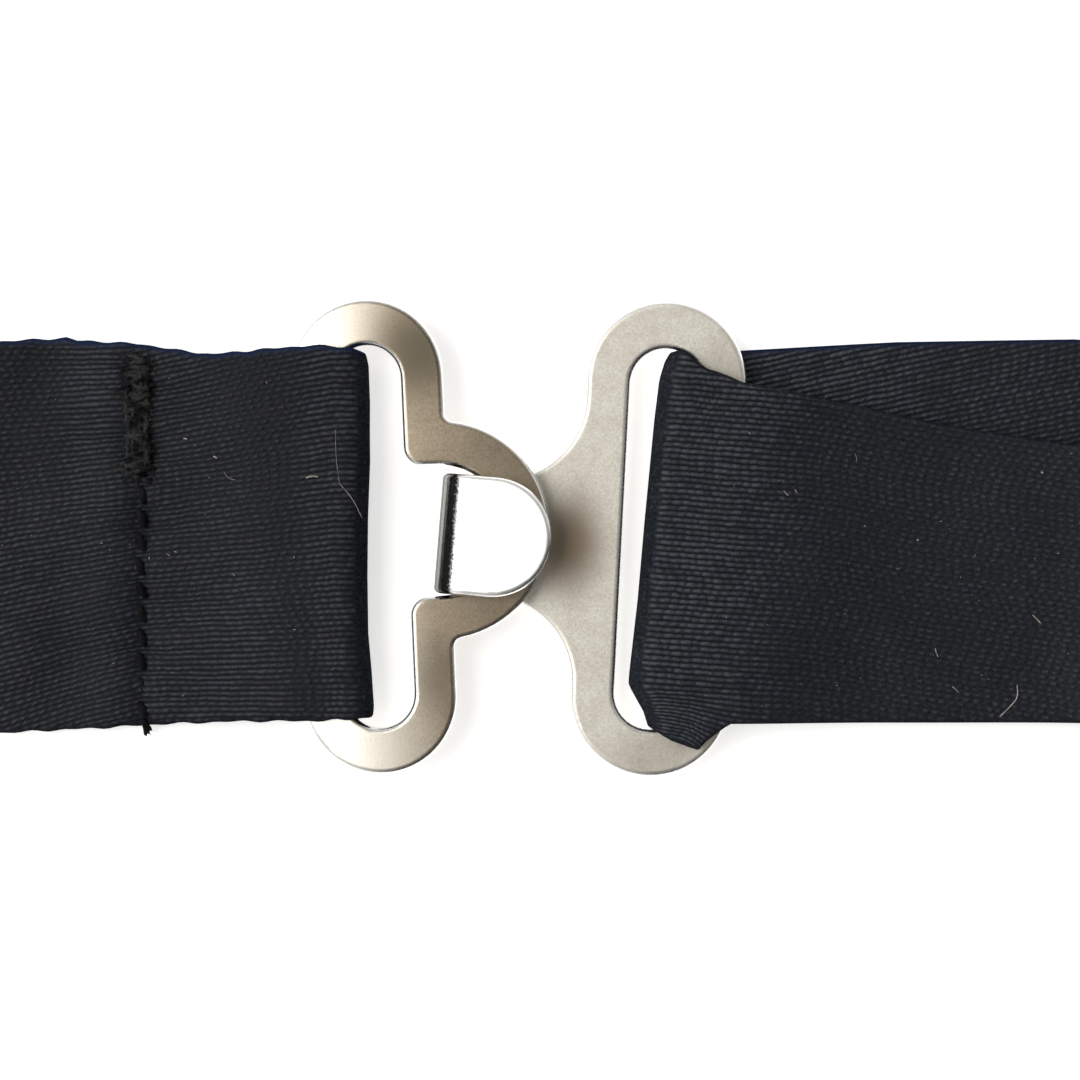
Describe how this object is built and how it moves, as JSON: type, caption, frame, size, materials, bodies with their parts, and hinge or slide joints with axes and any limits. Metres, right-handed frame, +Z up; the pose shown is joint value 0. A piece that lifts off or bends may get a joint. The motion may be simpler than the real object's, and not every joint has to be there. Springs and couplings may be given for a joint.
{
  "type": "hook-and-eye strap clasp",
  "caption": "Stamped hook plate and eye ring joined in a flat satin strap, with a sewn strap end and a three-bar adjuster slide.",
  "frame": {"origin": "on the table, under the middle of the whole part", "axes": "+X along the strap from the eye to the hook, +Y across the strap, +Z up out of the clasp's face"},
  "size_m": [0.104, 0.0249, 0.0041],
  "materials": {
    "hook_nickel": "satin nickel plate with tumbled edges",
    "eye_nickel": "darker warm nickel plate with a fine speckle",
    "slide_nickel": "satin nickel plate with tumbled edges",
    "black_satin": "ribbed satin weave with a soft sheen",
    "black_thread": "twisted polyester sewing thread"
  },
  "bodies": {
    "hook": {"hook_plate": "hook_nickel"},
    "eye": {"eye_ring": "eye_nickel"},
    "left_strap": {"eye_strap": "black_satin", "eye_seam_stitches": "black_thread", "eye_seam_bartack": "black_thread", "eye_seam_thread_tail": "black_thread"},
    "right_strap": {"hook_strap": "black_satin", "slide_seam_stitches": "black_thread"},
    "adjuster": {"adjuster_slide": "slide_nickel"}
  },
  "joints": [
    {"name": "unhook", "type": "slide", "parent": "hook", "child": "eye", "axis": [1, 0, 0], "range_m": [0, 0.0025]},
    {"name": "left_strap_swing", "type": "hinge", "parent": "eye", "child": "left_strap", "pos_m": [-0.01157, -0.00008, 0.00152], "axis": [-0.0436, 0.999, 0], "range_deg": [-60, 60], "deforming": ["eye_strap"]},
    {"name": "right_strap_swing", "type": "hinge", "parent": "hook", "child": "right_strap", "pos_m": [0.00923, -0.00024, 0.0012], "axis": [0.0523, 0.9986, 0], "range_deg": [-60, 60], "deforming": ["hook_strap"]},
    {"name": "adjuster_travel", "type": "slide", "parent": "right_strap", "child": "adjuster", "axis": [1, 0, 0], "range_m": [-0.006, 0.003], "deforming": ["hook_strap"]}
  ]
}
